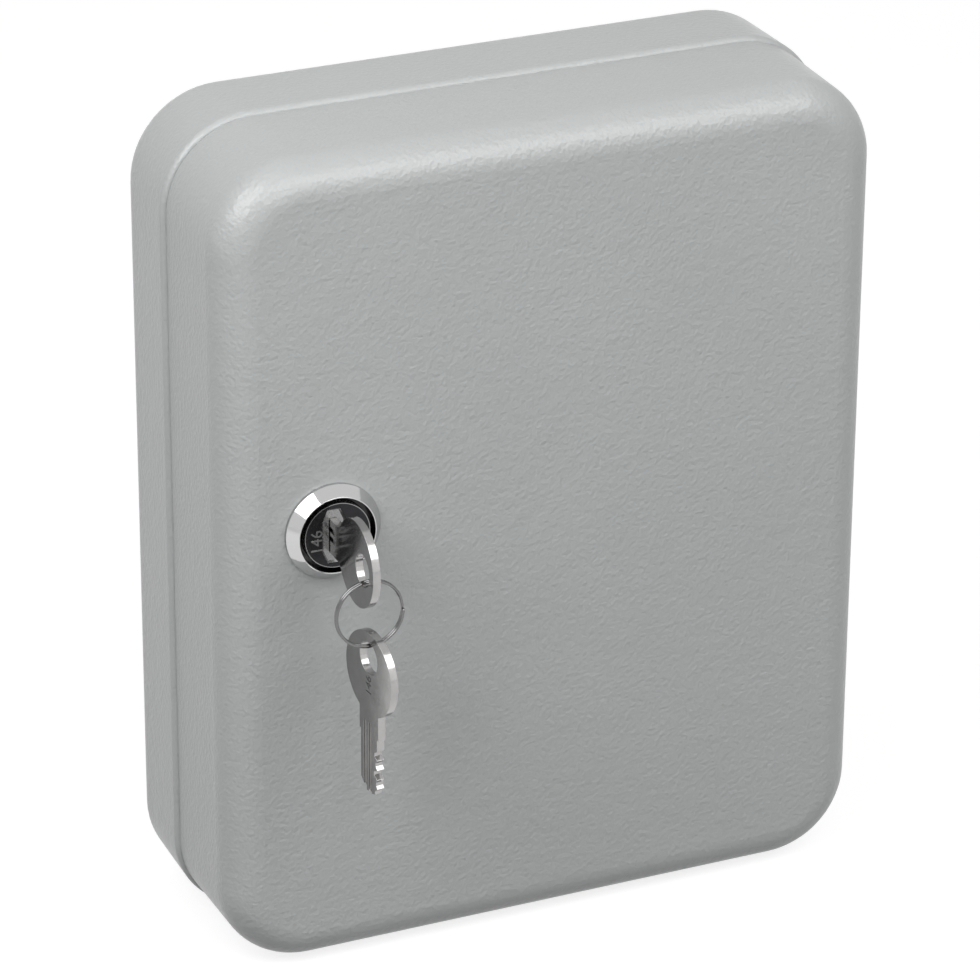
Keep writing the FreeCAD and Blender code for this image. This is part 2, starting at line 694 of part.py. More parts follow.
def make_lock_plug():
    """The turning plug: dished cap, keyway, wafer slots with spring pockets, and a square shank."""
    body = lock_body("lock_plug", "0")
    half = make_sketch(body, "half_profile", "XY")
    cap_back = CAP_FRONT + " + cap_thickness"
    add_polygon(half, [("0", CAP_FRONT), ("cap_radius", CAP_FRONT), ("cap_radius", cap_back),
                       ("plug_radius", cap_back), ("plug_radius", PLUG_REAR), ("0", PLUG_REAR)])
    revolve(body, half)
    shank = make_sketch(body, "shank", "XZ", "-" + PLUG_REAR)
    add_box(shank, ("-shank_side / 2", "-shank_side / 2"), ("shank_side / 2", "shank_side / 2"))
    pad(body, shank, "stop_thickness + cam_thickness - shank_clearance", forwards=False)
    dish = make_sketch(body, "dish", "XZ", "-" + CAP_FRONT)
    tall, short = "dish_half_height", "0.55 * dish_half_height"
    wide, narrow = "dish_half_width", "0.55 * dish_half_width"
    right, left = "-keyway_offset + ", "-keyway_offset - "
    add_polygon(dish, [(right + narrow, "-" + tall), (right + wide, "-" + short),
                       (right + wide, short), (right + narrow, tall),
                       (left + narrow, tall), (left + wide, short),
                       (left + wide, "-" + short), (left + narrow, "-" + tall)])
    pocket(body, dish, "dish_depth", forwards=False, taper="-dish_draft")
    keyway = make_sketch(body, "keyway", "XZ", "bezel_height")
    side = "(key_thickness / 2 + key_clearance)"
    rise = "(blade_height / 2 + key_clearance)"
    add_box(keyway, ("-keyway_offset - " + side, "-" + rise), ("-keyway_offset + " + side, rise))
    pocket(body, keyway, "bezel_height + %s + blade_length + 5 * key_clearance" % KEY_STOP, forwards=False)
    slot_start = "(first_cut + %s - wafer_thickness / 2 - wafer_clearance)" % KEY_STOP
    slot_end = "(first_cut + %s + wafer_thickness / 2 + wafer_clearance)" % KEY_STOP
    slot = make_sketch(body, "wafer_slot", "YZ")
    add_box(slot, (slot_start, "-2 * plug_radius"), (slot_end, "2 * plug_radius"))
    wide = pocket(body, slot, "2 * (wafer_half_width + 2 * wafer_clearance)", both_ways=True)
    reach = "wafer_pitch * (wafer_count - 1)"
    repeat(body, [wide], "Y", reach, "wafer_count")
    side_pocket = make_sketch(body, "spring_pocket", "YZ", "wafer_half_width")
    add_box(side_pocket, (slot_start, "-spring_pocket"), (slot_end, "spring_pocket"))
    deep = pocket(body, side_pocket, "ear_reach + 2 * wafer_clearance", forwards=True)
    repeat(body, [deep], "Y", reach, "wafer_count")
    tapped = make_sketch(body, "screw_hole", "XZ", "-(%s)" % CAM_REAR)
    add_circle(tapped, "screw_radius + screw_clearance")
    pocket(body, tapped, "screw_length", forwards=True)


def make_wafers():
    """Five wafers, each a plate with a window for the key and an ear over its spring."""
    reach = "wafer_pitch * (wafer_count - 1)"
    first = "(first_cut + %s)" % KEY_STOP
    body = lock_body("wafers", first)
    plate = make_sketch(body, "plate", "XZ")
    add_box(plate, ("-wafer_half_width", "-wafer_half_height"), ("wafer_half_width", "wafer_half_height"))
    solid = pad(body, plate, "wafer_thickness", both_ways=True)
    ear = make_sketch(body, "ear", "XZ")
    add_box(ear, ("wafer_half_width - ear_height", "ear_bottom"),
            ("wafer_half_width + ear_reach", "ear_bottom + ear_height"))
    lug = pad(body, ear, "wafer_thickness", both_ways=True)
    window = make_sketch(body, "window", "XZ")
    side = "(key_thickness / 2 + 2 * key_clearance)"
    rise = "(blade_height / 2 + 2 * key_clearance)"
    add_box(window, ("-keyway_offset - " + side, "-" + rise), ("-keyway_offset + " + side, rise))
    hole = pocket(body, window, "2 * wafer_thickness", both_ways=True)
    repeat(body, [solid, lug, hole], "Y", reach, "wafer_count")

    body = lock_body("wafer_springs", first)
    coil = make_sketch(body, "coil", "XY", "-spring_pocket + wafer_clearance")
    centre = ("wafer_half_width + ear_reach / 2 + wafer_clearance", "0")
    add_circle(coil, "spring_radius", centre)
    tube = pad(body, coil, "spring_pocket + ear_bottom - 2 * wafer_clearance")
    repeat(body, [tube], "Y", reach, "wafer_count")


def make_cam_train():
    """Stop washer, cam, spring washer and screw on the plug's shank."""
    body = lock_body("stop_washer", PLUG_REAR)
    disc = make_sketch(body, "disc", "XZ")
    add_circle(disc, "stop_disc_radius")
    pad(body, disc, "stop_thickness", forwards=False)
    lug = make_sketch(body, "lug", "XZ")
    inner = "stop_disc_radius - stop_thickness"
    add_polygon(lug, [ray(inner, "-stop_half_angle"), ray("stop_radius", "-stop_half_angle"),
                      ray("stop_radius", "stop_half_angle"), ray(inner, "stop_half_angle")])
    pad(body, lug, "stop_thickness", forwards=False)
    cut_square(body, "stop_thickness")

    body = lock_body("cam", CAM_FRONT)
    head = make_sketch(body, "head", "XZ")
    add_circle(head, "cam_head_radius")
    pad(body, head, "cam_thickness", forwards=False)
    arm = make_sketch(body, "arm", "XZ")
    add_box(arm, ("-cam_width / 2", "-cam_reach"), ("cam_width / 2", "0"))
    blade = pad(body, arm, "cam_thickness", forwards=False)
    tip = -SIZES["cam_reach"]
    round_edges(body, blade, "tip", "cam_tip",
                lambda edge: lies_in(edge, "Z", tip) and edge.BoundBox.XLength < SNAP)
    cut_square(body, "cam_thickness")

    body = lock_body("cam_washer", CAM_REAR)
    disc = make_sketch(body, "disc", "XZ")
    add_circle(disc, "cam_washer_radius")
    add_circle(disc, "screw_radius + screw_clearance")
    pad(body, disc, "cam_washer_thickness", forwards=False)

    body = lock_body("cam_screw", CAM_REAR + " + cam_washer_thickness")
    half = make_sketch(body, "half_profile", "XY")
    add_polygon(half, [("0", "-screw_length"), ("screw_radius", "-screw_length"), ("screw_radius", "0"),
                       ("screw_head_radius", "0"), ("screw_head_radius", "screw_head_height / 2"),
                       ("0.7 * screw_head_radius", "screw_head_height"), ("0", "screw_head_height")])
    revolve(body, half)
    cross = make_sketch(body, "cross", "XZ", "-screw_head_height")
    wide, thin = "0.55 * screw_head_radius", "0.13 * screw_head_radius"
    add_box(cross, ("-" + wide, "-" + thin), (wide, thin))
    pocket(body, cross, "screw_head_height / 2", forwards=True)
    cross = make_sketch(body, "cross_upright", "XZ", "-screw_head_height")
    add_box(cross, ("-" + thin, "-" + wide), (thin, wide))
    pocket(body, cross, "screw_head_height / 2", forwards=True)


def cut_square(body, thickness):
    """The square hole that turns a piece with the plug."""
    square = make_sketch(body, "square_hole", "XZ")
    half = "(shank_side / 2 + shank_clearance)"
    add_box(square, ("-" + half, "-" + half), (half, half))
    pocket(body, square, thickness, forwards=False)


def make_key(name, at, turn):
    """A flat wafer key: round bow with its ring hole, neck, grooved blade and five cuts."""
    body = make_body(name, at, turn)
    bow = make_sketch(body, "bow", "XY")
    add_circle(bow, "bow_radius", ("bow_radius - neck_length - bow_length", "0"))
    pad(body, bow, "key_thickness", both_ways=True)
    base = make_sketch(body, "base", "XY")
    add_box(base, ("-neck_length", "-2 * bow_radius"), ("2 * bow_radius", "2 * bow_radius"))
    pocket(body, base, "2 * key_thickness", both_ways=True)
    neck = make_sketch(body, "neck", "XY")
    add_box(neck, ("-neck_length - key_thickness", "-neck_height / 2"), ("0", "neck_height / 2"))
    pad(body, neck, "key_thickness", both_ways=True)
    blade = make_sketch(body, "blade", "XY")
    low, high = "-blade_height / 2", "blade_height / 2"
    points = [("-key_thickness", high), ("-key_thickness", low)]
    for step, depth in enumerate(("one", "two", "three", "four", "five")):
        middle = "first_cut + %d * wafer_pitch" % step
        floor = low + " + cut_depth_" + depth
        points += [(middle + " - cut_half_width", low), (middle + " - cut_floor", floor),
                   (middle + " + cut_floor", floor), (middle + " + cut_half_width", low)]
    points[-1] = ("blade_length - cut_floor", low + " + cut_half_width")
    points += [("blade_length", "-blade_height / 6"), ("blade_length", "blade_height / 6"),
               ("blade_length - blade_height / 3", high)]
    add_polygon(blade, points)
    pad(body, blade, "key_thickness", both_ways=True)
    hole = make_sketch(body, "ring_hole", "XY")
    add_circle(hole, "hole_radius", ("-" + HOLE_FROM_STOP, "0"))
    pocket(body, hole, "2 * key_thickness", both_ways=True)
    for face, way in (("key_thickness / 2", False), ("-key_thickness / 2", True)):
        groove = make_sketch(body, "groove_%s" % ("back" if way else "front"), "XY", face)
        for start in ("upper_groove - groove_width / 2", "-lower_groove - groove_width / 2"):
            add_box(groove, ("-neck_length / 2", start), ("2 * blade_length", start + " + groove_width"))
        pocket(body, groove, "key_groove_depth", forwards=way)


def make_keys_and_ring():
    """The key in the lock, the split ring that hangs from it, and the spare key on the ring."""
    lock_x = "(%s - keyway_offset)" % LOCK_X
    stop_y = "(%s + %s)" % (FRONT_Y, KEY_STOP)
    ring_y = "%s - %s" % (stop_y, HOLE_FROM_STOP)
    blade_to_wall = FreeCAD.Rotation(FreeCAD.Vector(1, 1, 1), 120)
    make_key("key_in_lock", (lock_x, stop_y, "lock_height"), blade_to_wall)

    ring_z = "lock_height - " + RING_DROP
    body = make_body("key_ring", (lock_x + " + ring_shift", ring_y, ring_z))
    wire = make_sketch(body, "wire", "XY")
    half = "(ring_turns * (ring_wire + ring_turn_gap) + ring_wire) / 2"
    add_box(wire, ("ring_inner_radius", "-" + half), ("ring_outer_radius", "-%s + ring_wire" % half))
    coil = body.newObject("PartDesign::AdditiveHelix", "ring_coil")
    coil.Profile = wire
    coil.ReferenceAxis = (origin_of(body, "Y_Axis"), [""])
    coil.Mode = 0
    bind(coil, "Pitch", "ring_wire + ring_turn_gap")
    bind(coil, "Height", "ring_turns * (ring_wire + ring_turn_gap)")
    doc.recompute()

    blade_down = FreeCAD.Rotation(FreeCAD.Vector(0, 1, 0), 90)
    aside = FreeCAD.Rotation(FreeCAD.Vector(0, 0, 1), SIZES["spare_turn"])
    spare_z = "%s - %s - %s" % (ring_z, RING_DROP, HOLE_FROM_STOP)
    spare_x = lock_x + " + ring_shift + spare_shift"
    make_key("spare_key", (spare_x, ring_y, spare_z), aside * blade_down)


def check_document():
    """Stop if any feature failed, cut nothing, or left a shape that isn't sound."""
    for item in doc.Objects:
        if "Invalid" in item.State or "Error" in item.State:
            raise RuntimeError("%s failed: %s" % (item.Name, item.State))
        if item.TypeId == "PartDesign::Pocket" and item.BaseFeature is not None:
            if item.Shape.Volume >= item.BaseFeature.Shape.Volume - 0.001:
                raise RuntimeError("%s cuts nothing" % item.Name)
    for body in nodes:
        if body.Shape.isNull() or not body.Shape.isValid() or not body.Shape.Solids:
            raise RuntimeError("%s has no sound shape" % body.Label)


def write_parts():
    """Write each piece to its own file, named after it."""
    os.makedirs("parts", exist_ok=True)
    for body in nodes:
        body.Shape.exportStep("parts/%s.step" % body.Label)
        print("%-16s %d solid(s) %10.2f mm3" % (body.Label, len(body.Shape.Solids), body.Shape.Volume))


fill_sheet()
make_back_case()
make_door_cover()
make_hinge()
make_strike_plate()
make_hook_rails()
make_lock_housing()
make_lock_fixings()
make_lock_plug()
make_wafers()
make_cam_train()
make_keys_and_ring()
doc.recompute()
check_document()
write_parts()
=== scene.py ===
import math

import bmesh
import bpy
from mathutils import Matrix, Vector


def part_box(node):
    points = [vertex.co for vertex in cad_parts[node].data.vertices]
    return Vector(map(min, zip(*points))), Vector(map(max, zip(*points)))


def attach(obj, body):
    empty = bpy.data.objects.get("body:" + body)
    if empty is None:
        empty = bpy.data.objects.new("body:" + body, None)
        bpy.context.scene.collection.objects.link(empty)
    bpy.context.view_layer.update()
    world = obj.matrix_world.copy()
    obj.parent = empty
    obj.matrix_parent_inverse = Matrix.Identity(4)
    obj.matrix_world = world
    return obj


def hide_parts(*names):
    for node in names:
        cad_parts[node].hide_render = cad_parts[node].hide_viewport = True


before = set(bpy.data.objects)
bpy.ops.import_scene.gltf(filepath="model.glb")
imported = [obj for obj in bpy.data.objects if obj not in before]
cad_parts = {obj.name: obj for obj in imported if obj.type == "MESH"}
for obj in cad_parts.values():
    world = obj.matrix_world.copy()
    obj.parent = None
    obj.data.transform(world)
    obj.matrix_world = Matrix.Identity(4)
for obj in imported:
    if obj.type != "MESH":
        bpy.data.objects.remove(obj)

bl_info = {
    "name": "Key box dressing",
    "version": (1, 0, 0),
    "blender": (4, 5, 0),
    "location": "View3D > Sidebar > Key box",
    "description": "Gives the packed key box its finishes, its fine pieces and a studio",
    "category": "Object",
}

MM = 0.001
ROWS = (1, 2, 3, 4)
HOOKS_PER_ROW = 5

# Places of the colour sockets of a Mix node, whose names repeat
MIX_FIRST = 6
MIX_SECOND = 7
MIX_RESULT = 2

finishes = {}


class KeyBoxPaint(bpy.types.PropertyGroup):
    """The textured powder coat on both pans."""

    colour: bpy.props.FloatVectorProperty(
        name="Colour", description="Base colour of the powder coat",
        default=(0.405, 0.417, 0.416), size=3, min=0.0, max=1.0, subtype="COLOR")
    roughness: bpy.props.FloatProperty(
        name="Roughness", description="Roughness of the coat",
        default=0.32, min=0.0, max=1.0, subtype="FACTOR")
    wrinkle_size: bpy.props.FloatProperty(
        name="Wrinkle size", description="Width of one wrinkle of the coat",
        default=1.0 * MM, min=0.2 * MM, unit="LENGTH", subtype="DISTANCE")
    wrinkle_depth: bpy.props.FloatProperty(
        name="Wrinkle depth", description="Height of the wrinkles",
        default=0.19 * MM, min=0.0, precision=6, unit="LENGTH", subtype="DISTANCE")


class KeyBoxDetails(bpy.types.PropertyGroup):
    """Numbers, split ring and weld marks."""

    lock_number: bpy.props.StringProperty(
        name="Lock number", description="Plain number on the plug and on the spare key", default="146")
    plug_figures: bpy.props.FloatProperty(
        name="Figures on the plug", description="Height of the figures on the plug",
        default=2.85 * MM, min=0.5 * MM, unit="LENGTH", subtype="DISTANCE")
    key_figures: bpy.props.FloatProperty(
        name="Figures on the key", description="Height of the figures on the spare key",
        default=2.4 * MM, min=0.5 * MM, unit="LENGTH", subtype="DISTANCE")
    hook_figures: bpy.props.FloatProperty(
        name="Hook numbers", description="Height of the figures over the hooks",
        default=3.4 * MM, min=0.5 * MM, unit="LENGTH", subtype="DISTANCE")
    ring_wire: bpy.props.FloatProperty(
        name="Ring wire", description="Radius of the wire of the split ring",
        default=0.33 * MM, min=0.1 * MM, unit="LENGTH", subtype="DISTANCE")
    ring_turns: bpy.props.FloatProperty(
        name="Ring turns", description="Turns of wire in the split ring", default=1.94, min=1.0)
    weld_radius: bpy.props.FloatProperty(
        name="Weld mark", description="Radius of one spot weld mark",
        default=1.7 * MM, min=1.0 * MM, unit="LENGTH", subtype="DISTANCE")


class KeyBoxStudio(bpy.types.PropertyGroup):
    """Camera and light levels."""

    key_power: bpy.props.FloatProperty(
        name="Key power", description="Power of the soft box on the left",
        default=4.2, min=0.0, unit="POWER")
    top_power: bpy.props.FloatProperty(
        name="Top power", description="Power of the long soft box overhead",
        default=5.3, min=0.0, unit="POWER")
    fill_power: bpy.props.FloatProperty(
        name="Fill power", description="Power of the front fill",
        default=1.5, min=0.0, unit="POWER")
    back_power: bpy.props.FloatProperty(
        name="Back power", description="Power of the low light behind",
        default=20.0, min=0.0, unit="POWER")
    sky: bpy.props.FloatProperty(
        name="Sky", description="Level of the even light from all round", default=0.22, min=0.0)
    lens: bpy.props.FloatProperty(
        name="Lens", description="Focal length of the camera", default=185.27, min=1.0, unit="CAMERA")


def grey(level):
    return (level, level, level)


def shade(colour, factor):
    """A colour made darker or lighter."""
    return tuple(min(1.0, part * factor) for part in colour)


def middle(node):
    """The middle of a node's box."""
    low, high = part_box(node)
    return [(start + end) / 2 for start, end in zip(low, high)]


def front(node):
    """The place of a node's front, which is its lowest y."""
    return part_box(node)[0][1]


def axes_at(place, right, up, out):
    """The matrix that turns x, y and z to three directions and sets them at a place."""
    rows = [list(row) for row in zip(right, up, out, place)]
    return Matrix(rows + [[0, 0, 0, 1]])


def add_node(tree, kind, inputs=None, **settings):
    """A new node, with its settings and the values of its sockets."""
    node = tree.nodes.new(kind)
    for name, value in settings.items():
        setattr(node, name, value)
    for name, value in (inputs or {}).items():
        node.inputs[name].default_value = value
    return node


def add_object(name, data):
    """A new object at the origin, in the scene."""
    thing = bpy.data.objects.new(name, data)
    bpy.context.scene.collection.objects.link(thing)
    return thing


def add_piece(name, mesh, body, stands_for=None):
    """A finished mesh as a piece that moves with a body, and may stand for a node."""
    piece = add_object(name, mesh)
    if stands_for:
        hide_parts(stands_for)
    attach(piece, body)
    return piece


def closed_mesh(name, shape, finish):
    """A bmesh made into a mesh of one finish, its faces outwards."""
    bmesh.ops.recalc_face_normals(shape, faces=shape.faces)
    mesh = bpy.data.meshes.new(name)
    shape.to_mesh(mesh)
    shape.free()
    mesh.materials.append(finishes[finish])
    return mesh


class Recipe:
    """Adds and joins the nodes of one material."""

    def __init__(self, name, colour, roughness, metallic=0.0):
        self.material = bpy.data.materials.new(name)
        self.material.use_nodes = True
        self.tree = self.material.node_tree
        self.shader = self.tree.nodes["Principled BSDF"]
        self.shader.inputs["Base Color"].default_value = (*colour, 1.0)
        self.shader.inputs["Roughness"].default_value = roughness
        self.shader.inputs["Metallic"].default_value = metallic
        self.coordinates = self.add("ShaderNodeTexCoord").outputs["Object"]

    def add(self, kind, inputs=None, **settings):
        return add_node(self.tree, kind, inputs, **settings)

    def join(self, source, target):
        self.tree.links.new(source, target)

    def noise(self, size, detail=2.0, roughness=0.5, stretch=None):
        """Noise whose features are about this wide, in metres, and may be stretched along an axis."""
        source = self.coordinates
        if stretch is not None:
            mapping = self.add("ShaderNodeMapping", {"Scale": stretch})
            self.join(source, mapping.inputs["Vector"])
            source = mapping.outputs["Vector"]
        node = self.add("ShaderNodeTexNoise", {"Scale": 1.0 / size, "Detail": detail, "Roughness": roughness})
        self.join(source, node.inputs["Vector"])
        return node.outputs["Fac"]

    def spread(self, value, low, high, start=0.3, end=0.7):
        """Stretch part of a pattern, from start to end, over a range of values."""
        limits = {"From Min": start, "From Max": end, "To Min": low, "To Max": high}
        node = self.add("ShaderNodeMapRange", limits)
        self.join(value, node.inputs["Value"])
        return node.outputs["Result"]

    def tint(self, value, dark, light):
        """A colour that runs from one tone to another with a pattern."""
        tones = {MIX_FIRST: (*dark, 1.0), MIX_SECOND: (*light, 1.0)}
        node = self.add("ShaderNodeMix", tones, data_type="RGBA")
        self.join(value, node.inputs["Factor"])
        self.join(node.outputs[MIX_RESULT], self.shader.inputs["Base Color"])

    def beyond(self, centre, weights, reach):
        """One where the weighted distance from a point is more than a reach, and nought nearer."""
        away = self.add("ShaderNodeVectorMath", {1: centre}, operation="SUBTRACT")
        self.join(self.coordinates, away.inputs[0])
        flat = self.add("ShaderNodeVectorMath", {1: weights}, operation="MULTIPLY")
        self.join(away.outputs[0], flat.inputs[0])
        length = self.add("ShaderNodeVectorMath", operation="LENGTH")
        self.join(flat.outputs[0], length.inputs[0])
        edge = 0.04 * MM
        return self.spread(length.outputs["Value"], 0.0, 1.0, reach - edge, reach + edge)

    def over(self, mask, colour):
        """Lay another colour over the one already there, where the mask is one."""
        base = self.shader.inputs["Base Color"]
        node = self.add("ShaderNodeMix", {MIX_SECOND: (*colour, 1.0)}, data_type="RGBA")
        self.join(base.links[0].from_socket, node.inputs[MIX_FIRST])
        self.join(mask, node.inputs["Factor"])
        self.join(node.outputs[MIX_RESULT], base)

    def bump(self, value, distance, strength=1.0):
        """Turn a pattern into relief, on top of any relief already there."""
        node = self.add("ShaderNodeBump", {"Distance": distance, "Strength": strength})
        self.join(value, node.inputs["Height"])
        normal = self.shader.inputs["Normal"]
        if normal.is_linked:
            self.join(normal.links[0].from_socket, node.inputs["Normal"])
        self.join(node.outputs["Normal"], normal)

    def dull(self, value, low, high, start=0.3, end=0.7):
        """Let the roughness follow part of a pattern, from start to end."""
        self.join(self.spread(value, low, high, start, end), self.shader.inputs["Roughness"])


def make_paint():
    """Light grey powder coat with fine wrinkles over a faint unevenness, smoother in places."""
    paint = bpy.context.scene.keybox_paint
    colour = tuple(paint.colour)
    recipe = Recipe("grey_powder_coat", colour, paint.roughness)
    patch_size = 35 * MM
    ripple_size = 4 * MM
    ripple_depth = 0.13 * MM
    broad = recipe.noise(patch_size)
    recipe.tint(broad, shade(colour, 0.96), shade(colour, 1.045))
    recipe.dull(broad, paint.roughness - 0.03, paint.roughness + 0.05, 0.0, 1.0)
    recipe.bump(recipe.noise(ripple_size, detail=1.0), ripple_depth)
    recipe.bump(recipe.noise(paint.wrinkle_size, detail=1.0, roughness=0.45), paint.wrinkle_depth)
    return recipe.material


def metal_recipe(name, colour, roughness, grain=(1, 1, 1), depth=0.01 * MM, spots=0.05):
    """A bare or plated metal with fine grain, uneven polish and faint patches."""
    grain_size = 0.6 * MM
    patch_size = 4 * MM
    recipe = Recipe(name, colour, roughness, metallic=1.0)
    fine = recipe.noise(grain_size, detail=3.0, stretch=grain)
    patches = recipe.spread(recipe.noise(patch_size, detail=3.0), 0.0, 1.0)
    recipe.tint(patches, shade(colour, 1.0 - spots), shade(colour, 1.0 + spots / 2))
    recipe.dull(fine, roughness * 0.8, roughness * 1.25)
    recipe.bump(fine, depth, 0.5)
    return recipe


def make_metal(name, colour, roughness, **details):
    return metal_recipe(name, colour, roughness, **details).material


def lock_axis():
    """The middle of the lock's face."""
    across, _, up = middle("lock_housing")
    return (across, front("lock_housing"), up)


def make_chrome():
    """Bright chrome, with painted shade: near black in the deep groove round the plug."""
    groove_radius = 9.0 * MM
    # The near black base is painted shade in the groove; beyond the groove's radius the chrome keeps its own
    # bright grey.
    recipe = metal_recipe("bezel_chrome", grey(0.03), 0.07, depth=0.004 * MM, spots=0.02)
    recipe.over(recipe.beyond(lock_axis(), (1, 0, 1), groove_radius), grey(0.52))
    return recipe.material


def make_plug_plating():
    """Near black plating on the plug's face, its darkness partly a painted dark reflection, with painted
    highlights in lighter grey round its rim and in its dish.
    """
    painted_glint = grey(0.26)
    rim_radius = 7.62 * MM
    dish_depth = 0.1 * MM
    far = 1.0
    # Near black, partly the plating's own colour and partly a painted dark reflection.
    recipe = metal_recipe("plug_plating", (0.030, 0.030, 0.032), 0.24, spots=0.15)
    # Painted highlight: lighter grey round the rim, where its edge would catch the light.
    recipe.over(recipe.beyond(lock_axis(), (1, 0, 1), rim_radius), painted_glint)
    # Painted glints: lighter grey over the faces of the dish.
    # Measured from far in front of the lock, the dish is what lies beyond the plug's face
    start = (0, front("lock_plug") - far, 0)
    recipe.over(recipe.beyond(start, (0, 1, 0), far + dish_depth), painted_glint)
    return recipe.material


def make_strip_paper():
    """Matt white label stock with a faint tooth."""
    colour = (0.78, 0.78, 0.75)
    recipe = Recipe("label_white", colour, 0.62)
    fibre_size = 0.5 * MM
    fibre = recipe.noise(fibre_size, detail=3.0)
    recipe.tint(recipe.spread(fibre, 0.0, 1.0), shade(colour, 0.97), colour)
    recipe.bump(fibre, 0.01 * MM, 0.4)
    return recipe.material


def make_ink():
    """Printed black figures."""
    recipe = Recipe("label_ink", (0.02, 0.02, 0.022), 0.5)
    recipe.tint(recipe.noise(0.4 * MM), (0.015, 0.015, 0.017), (0.03, 0.03, 0.032))
    return recipe.material


def make_finishes():
    """Every finish of the key box, under the name that the pieces ask for."""
    finishes["paint"] = make_paint()
    finishes["chrome"] = make_chrome()
    finishes["plug"] = make_plug_plating()
    finishes["number"] = make_metal("number_metal", grey(0.20), 0.3)
    finishes["stamp"] = make_metal("stamped_metal", grey(0.09), 0.3)
    finishes["ring"] = make_metal("ring_steel", grey(0.18), 0.12, depth=0.006 * MM)
    finishes["nickel"] = make_metal("key_nickel", (0.39, 0.385, 0.38), 0.16, depth=0.008 * MM, spots=0.10)
    finishes["brass"] = make_metal("wafer_brass", (0.70, 0.56, 0.30), 0.28)
    finishes["zinc"] = make_metal("zinc_plate", (0.47, 0.48, 0.49), 0.30, grain=(1, 1, 0.2), spots=0.10)
    finishes["label"] = make_strip_paper()
    finishes["ink"] = make_ink()


NODE_FINISH = {
    "paint": ("back_case", "door_cover"),
    "chrome": ("lock_housing",),
    "plug": ("lock_plug",),
    "nickel": ("key_in_lock", "spare_key", "key_ring"),
    "brass": ("wafers",),
    "label": tuple("number_strip_%d" % row for row in ROWS),
    "zinc": ("hinge_leaf_case", "hinge_leaf_door", "hinge_pin", "strike_plate", "lock_washer", "lock_nut",
             "wafer_springs", "stop_washer", "cam", "cam_washer", "cam_screw",
             *("hook_rail_%d" % row for row in ROWS)),
}


class KEYBOX_OT_finish_frame(bpy.types.Operator):
    """Give every carried-over node its finish."""

    bl_idname = "keybox.finish_frame"
    bl_label = "Finish the frame"

    def execute(self, context):
        make_finishes()
        for finish, names in NODE_FINISH.items():
            for name in names:
                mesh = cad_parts[name].data
                mesh.materials.clear()
                mesh.materials.append(finishes[finish])
        return {"FINISHED"}


# Width of the rounded edge in millimetres, body and slot
SOFT_EDGES = {
    "key_in_lock": (0.18, "key", "nickel"),
    "spare_key": (0.18, "spare", "nickel"),
    "lock_housing": (0.10, "door", "chrome"),
    "lock_nut": (0.25, "door", "zinc_steel"),
    "lock_washer": (0.10, "door", "zinc_steel"),
    "cam": (0.20, "plug", "zinc_steel"),
    "stop_washer": (0.10, "plug", "zinc_steel"),
    "cam_washer": (0.12, "plug", "zinc_steel"),
    "cam_screw": (0.18, "plug", "zinc_steel"),
    "strike_plate": (0.15, "case", "zinc_steel"),
}


def soften(mesh, width):
    """Join the loose triangles of a mesh and round its sharp edges."""
    merge_distance = 0.0005 * MM
    level_angle = math.radians(0.5)
    sharp_angle = math.radians(28)
    crease_angle = math.radians(50)
    shape = bmesh.new()
    shape.from_mesh(mesh)
    bmesh.ops.remove_doubles(shape, verts=shape.verts, dist=merge_distance)
    bmesh.ops.dissolve_limit(shape, angle_limit=level_angle, verts=shape.verts, edges=shape.edges)
    sharp = [edge for edge in shape.edges if edge.is_manifold and edge.calc_face_angle() > sharp_angle]
    bmesh.ops.bevel(shape, geom=sharp, offset=width, offset_type="OFFSET", segments=2,
                    profile=0.5, affect="EDGES", clamp_overlap=True, material=-1)
    bmesh.ops.recalc_face_normals(shape, faces=shape.faces)
    for face in shape.faces:
        face.smooth = True
    shape.to_mesh(mesh)
    shape.free()
    mesh.set_sharp_from_angle(angle=crease_angle)


class KEYBOX_OT_soft_edges(bpy.types.Operator):
    """Round the sharp edges of the metal pieces, as stamping and tumbling leave them."""

    bl_idname = "keybox.soft_edges"
    bl_label = "Soft edges"

    def execute(self, context):
        for node, (width, body, slot) in SOFT_EDGES.items():
            name = node + "_soft"
            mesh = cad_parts[node].data.copy()
            mesh.name = name
            soften(mesh, width * MM)
            piece = add_piece(name, mesh, body, stands_for=node)
            even = piece.modifiers.new("even_shading", "WEIGHTED_NORMAL")
            even.mode = "FACE_AREA"
            even.keep_sharp = True
        return {"FINISHED"}


class KEYBOX_OT_split_ring(bpy.types.Operator):
    """Wind the split ring from round wire."""

    bl_idname = "keybox.split_ring"
    bl_label = "Split ring"

    def execute(self, context):
        details = context.scene.keybox_details
        wire = details.ring_wire
        steps = 150
        low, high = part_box("key_ring")
        centre = middle("key_ring")
        radius = (high[0] - low[0]) / 2 - wire
        rise = (high[1] - low[1]) - 2 * wire
        start = Matrix.Translation((centre[0] + radius, centre[1] - rise / 2, centre[2]))
        shape = bmesh.new()
        bmesh.ops.create_circle(shape, segments=12, radius=wire, matrix=start)
        bmesh.ops.spin(shape, geom=shape.verts[:] + shape.edges[:], cent=centre, axis=(0, 1, 0),
                       dvec=(0, rise / steps, 0), angle=math.tau * details.ring_turns, steps=steps)
        for face in shape.faces:
            face.smooth = True
        bmesh.ops.holes_fill(shape, edges=[edge for edge in shape.edges if edge.is_boundary])
        mesh = closed_mesh("round_ring", shape, "ring")
        add_piece("round_ring", mesh, "ring", stands_for="key_ring")
        return {"FINISHED"}


